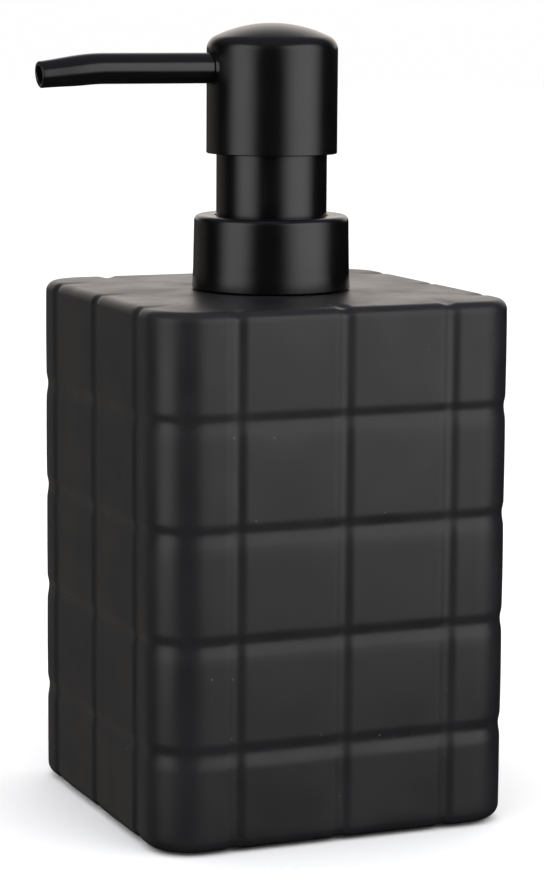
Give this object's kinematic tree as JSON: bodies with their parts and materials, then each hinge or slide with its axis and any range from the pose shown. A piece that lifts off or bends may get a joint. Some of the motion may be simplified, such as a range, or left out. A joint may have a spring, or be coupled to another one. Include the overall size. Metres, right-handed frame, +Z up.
{
  "type": "soap pump dispenser",
  "caption": "Square quilted ceramic bottle with a screw-on press pump: domed head, bent nozzle, collar and hidden spring pump with dip tube.",
  "frame": {"origin": "on the pump's axis, at the underside of the non-slip pad that the bottle stands on", "axes": "+Z up along the pump's axis, -X along the nozzle, -Y out of the bottle's front face"},
  "size_m": [0.0862, 0.075, 0.1568],
  "materials": {
    "glazed_ceramic": "matte black glaze with a soft sheen",
    "foam_rubber": "matte foam",
    "black_plastic": "moulded, satin",
    "rubber_seal": "smooth rubber",
    "satin_black_coating": "satin black coating",
    "natural_plastic": "natural translucent, smooth",
    "spring_steel": "bright drawn wire",
    "ball_steel": "polished"
  },
  "bodies": {
    "bottle": {"bottle": "glazed_ceramic", "base_pad": "foam_rubber", "neck_insert": "black_plastic", "mouth_o_ring": "rubber_seal"},
    "gasket": {"neck_gasket": "rubber_seal"},
    "pump": {"pump_housing": "natural_plastic", "stem_guide": "black_plastic", "ball_cage": "natural_plastic", "dip_tube": "natural_plastic"},
    "closure": {"closure_ring": "black_plastic", "closure_shell": "satin_black_coating", "chimney_sleeve": "satin_black_coating"},
    "spring": {"return_spring": "spring_steel"},
    "head": {"head_shell": "satin_black_coating", "head_core": "black_plastic", "nozzle_tube": "satin_black_coating", "stem": "natural_plastic", "piston_plug": "natural_plastic"},
    "piston": {"piston": "natural_plastic"},
    "ball": {"check_ball": "ball_steel"}
  },
  "joints": [
    {"name": "pump_lift", "type": "slide", "parent": "bottle", "child": "gasket", "axis": [0, 0, 1], "range_m": [0, 0.115]},
    {"name": "thread_rise", "type": "slide", "parent": "gasket", "child": "pump", "axis": [0, 0, 1], "range_m": [0, 0.0054]},
    {"name": "closure_turn", "type": "hinge", "parent": "pump", "child": "closure", "pos_m": [0, 0, 0.109], "axis": [0, 0, 1], "range_deg": [0, 540]},
    {"name": "pump_stroke", "type": "slide", "parent": "pump", "child": "spring", "axis": [0, 0, -1], "range_m": [0, 0.011], "stiffness_N_per_m": 250, "springref_m": -0.01, "deforming": ["return_spring"]},
    {"name": "head_swivel", "type": "hinge", "parent": "spring", "child": "head", "pos_m": [0, 0, 0.13], "axis": [0, 0, 1], "continuous": true},
    {"name": "piston_slip", "type": "slide", "parent": "head", "child": "piston", "axis": [0, 0, 1], "range_m": [0, 0.0008]},
    {"name": "ball_lift", "type": "slide", "parent": "pump", "child": "ball", "axis": [0, 0, 1], "range_m": [0, 0.0015]}
  ],
  "couplings": [
    {"joint": "thread_rise", "follows": "closure_turn", "m_per_rad": 0.00057295}
  ]
}
